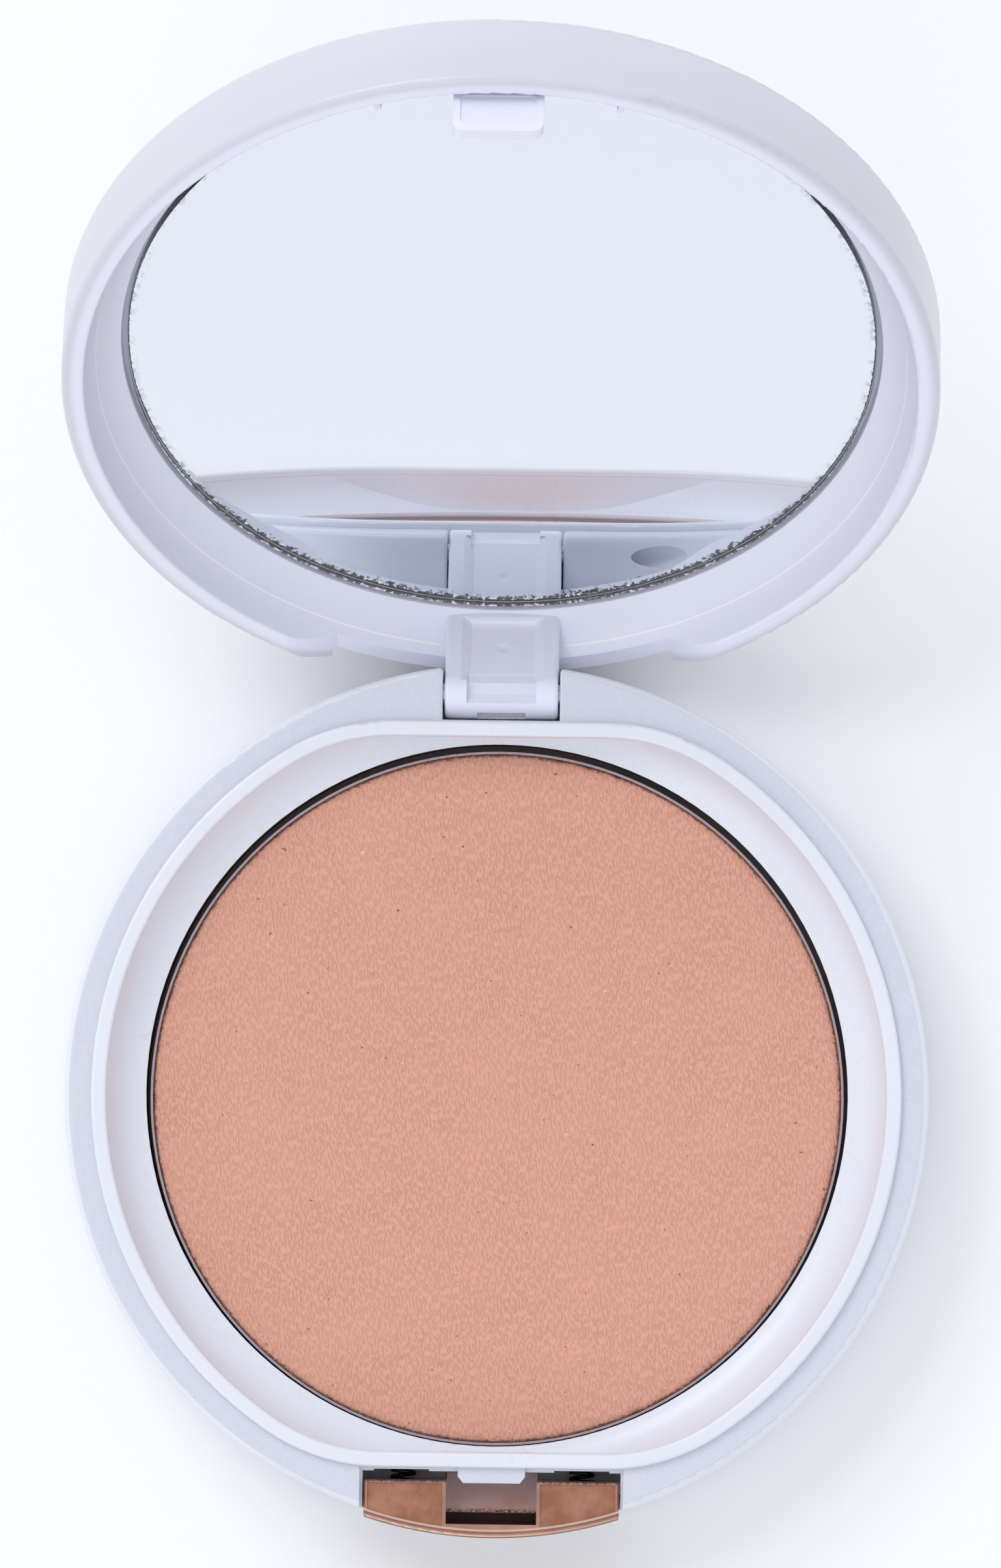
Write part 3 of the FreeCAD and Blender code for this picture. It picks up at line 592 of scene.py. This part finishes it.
def mirror_backing():
    """The silver, with a ragged, flaked edge, and the dark paint that covers its back."""
    around = 2400
    low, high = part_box("mirror_silvering")
    centre = (low + high) / 2
    full_r = (high.x - low.x) / 2
    edge = []
    for i in range(around):
        angle = 2 * math.pi * i / around
        direction = Vector((math.cos(angle), math.sin(angle), 0))
        rough = noise.fractal(direction * full_r / (0.25 * MM), 0.6, 2.3, 6)
        broad = noise.noise(direction * full_r / (6 * MM))
        near_hinge = (0.5 + 0.5 * direction.y) ** 3
        flaked = max(0.0, min(1.5, 0.55 + 0.7 * rough + 0.7 * broad))
        edge.append(full_r - (0.06 + (0.06 + 0.14 * near_hinge) * flaked) * MM)
    silver = thin_disc("silver_coat", edge, centre, -0.024 * MM, -0.004 * MM)
    made = piece("silver_coat", silver, "silvering", "lid", smooth=False)
    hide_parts("mirror_silvering")
    paint = thin_disc("back_paint", [full_r] * 720, centre, 0.0, 0.022 * MM)
    piece("back_paint", paint, "silvering", "lid", False, look("back_paint_look", dark_paint))


def coil_spring(side):
    """One return spring behind the button, with its end turns closed."""
    low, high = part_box("button_springs")
    outer_r = (high.z - low.z) / 2
    wire_r = 0.16 * MM
    coil_r = outer_r - wire_r
    x = side * (high.x - outer_r)
    z = (low.z + high.z) / 2
    turns = 5
    per_turn = 40
    curve = bpy.data.curves.new("spring", "CURVE")
    curve.dimensions = "3D"
    curve.bevel_depth = wire_r
    curve.bevel_resolution = 4
    curve.use_fill_caps = True
    line = curve.splines.new("POLY")
    total = turns * per_turn
    line.points.add(total)
    for i in range(total + 1):
        share = i / total
        eased = min(1.0, max(0.0, (share - 0.5) * 1.35 + 0.5))
        angle = 2 * math.pi * turns * share
        y = low.y + wire_r + (high.y - low.y - 2 * wire_r) * (0.06 * share + 0.94 * eased)
        line.points[i].co = (x + coil_r * math.cos(angle), y, z + coil_r * math.sin(angle), 1)
    wire = bpy.data.objects.new("wire", curve)
    bpy.context.scene.collection.objects.link(wire)
    bpy.context.view_layer.update()
    evaluated = wire.evaluated_get(bpy.context.evaluated_depsgraph_get())
    mesh = bpy.data.meshes.new_from_object(evaluated)
    bpy.data.objects.remove(wire)
    name = "spring_right" if side > 0 else "spring_left"
    return piece(name, mesh, "steel", "base", material=SPRING_LOOK)


def gate_burr():
    """The torn white scrap left below the gate mark at the end of the lid's arm."""
    rng = random.Random(5)
    face_y = HINGE_AT.y - KNUCKLE_R
    shape = bmesh.new()
    steps = 26
    half = 1.75 * MM
    # Three torn ridges, one above the other: height, reach and seed.
    for low_z, out, seed in ((0.1, 0.09, 1), (0.32, 0.06, 2), (0.5, 0.04, 3)):
        upper, lower, front = [], [], []
        for i in range(steps + 1):
            share = i / steps
            x = (2 * share - 1) * half * (1 - 0.12 * seed)
            ragged = 0.6 + 0.5 * noise.noise(Vector((x / (0.35 * MM), seed, 0)))
            ragged += rng.uniform(-0.2, 0.2)
            ends = math.sin(math.pi * share) ** 0.4
            y = face_y + 0.04 * MM - out * MM * ragged * ends
            z = HINGE_AT.z + low_z * MM
            thick = 0.05 * MM * ends + 0.004 * MM
            upper.append(shape.verts.new((x, face_y + 0.12 * MM, z + thick)))
            lower.append(shape.verts.new((x, face_y + 0.12 * MM, z - thick)))
            front.append(shape.verts.new((x, y, z + rng.uniform(-0.03, 0.03) * MM)))
        for i in range(steps):
            shape.faces.new((upper[i], upper[i + 1], front[i + 1], front[i]))
            shape.faces.new((front[i], front[i + 1], lower[i + 1], lower[i]))
            shape.faces.new((lower[i], lower[i + 1], upper[i + 1], upper[i]))
        shape.faces.new((upper[0], front[0], lower[0]))
        shape.faces.new((lower[-1], front[-1], upper[-1]))
    bmesh.ops.recalc_face_normals(shape, faces=shape.faces)
    mesh = bpy.data.meshes.new("gate_burr")
    shape.to_mesh(mesh)
    shape.free()
    piece("gate_burr", mesh, "white_lid", "lid", smooth=False)


def powder_crumbs():
    """Loose crumbs of powder lying on the cake, most of them near its edge."""
    rng = random.Random(11)
    shape = bmesh.new()
    for _ in range(260):
        angle = rng.uniform(0, 2 * math.pi)
        size = rng.uniform(0.035, 0.11) * MM
        r = CAKE_R - abs(rng.gauss(0, 0.8)) * MM - 0.3 * MM
        at = CAKE_CENTRE + Vector((r * math.cos(angle), r * math.sin(angle), 0))
        at.z = CAKE_HIGH.z - CAKE_CROWN * (r / CAKE_R) ** 2 - CAKE_SINK + 0.2 * size
        made = bmesh.ops.create_icosphere(shape, subdivisions=1, radius=size)
        for vertex in made["verts"]:
            vertex.co = vertex.co * rng.uniform(0.6, 1.15)
            vertex.co.z *= 0.7
            vertex.co += at
    mesh = bpy.data.meshes.new("powder_crumbs")
    shape.to_mesh(mesh)
    shape.free()
    piece("powder_crumbs", mesh, "powder", "base", smooth=False)


powder_cake()
powder_crumbs()
mirror_backing()
gate_burr()
springs = [coil_spring(side) for side in (-1, 1)]
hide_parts("button_springs")


# --- floor, light and camera ---
CAMERA_AT = Vector((21.56, -9.07, 1243.63)) * MM
CAMERA_TURN = Euler([math.radians(a) for a in (1.6644, 0.9792, 0.7369)])
CAMERA_LENS = 333.8


def floor_sheet():
    shape = bmesh.new()
    bmesh.ops.create_grid(shape, x_segments=8, y_segments=8, size=6.0)
    mesh = bpy.data.meshes.new("floor")
    shape.to_mesh(mesh)
    shape.free()
    floor = bpy.data.objects.new("floor", mesh)
    bpy.context.scene.collection.objects.link(floor)
    mesh.materials.append(look("floor_look", studio_floor))


def soft_box(name, at, size, power, aim=(0, 0, 0), colour=(1, 1, 1)):
    lamp = bpy.data.lights.new(name, "AREA")
    lamp.shape = "RECTANGLE"
    lamp.size, lamp.size_y = size
    lamp.energy = power
    lamp.color = colour
    made = bpy.data.objects.new(name, lamp)
    bpy.context.scene.collection.objects.link(made)
    made.location = at
    made.rotation_euler = (Vector(aim) - Vector(at)).to_track_quat("-Z", "Y").to_euler()


def studio():
    scene = bpy.context.scene
    scene.world = bpy.data.worlds.new("studio")
    scene.world.use_nodes = True
    sky = scene.world.node_tree.nodes["Background"]
    sky.inputs["Color"].default_value = (0.93, 0.95, 1.0, 1)
    sky.inputs["Strength"].default_value = 0.88
    soft_box("key", (-0.75, 0.95, 1.25), (0.9, 0.9), 8)
    soft_box("fill", (-0.5, -1.3, 1.1), (1.2, 1.4), 2.5)
    scene.view_settings.view_transform = "Standard"
    scene.view_settings.look = "None"


def camera():
    data = bpy.data.cameras.new("camera")
    data.sensor_fit = "AUTO"
    data.sensor_width = 36
    data.lens = CAMERA_LENS
    data.clip_start = 0.05
    data.clip_end = 20
    made = bpy.data.objects.new("camera", data)
    made.location = CAMERA_AT
    made.rotation_euler = CAMERA_TURN
    bpy.context.scene.collection.objects.link(made)
    bpy.context.scene.camera = made


floor_sheet()
studio()
camera()
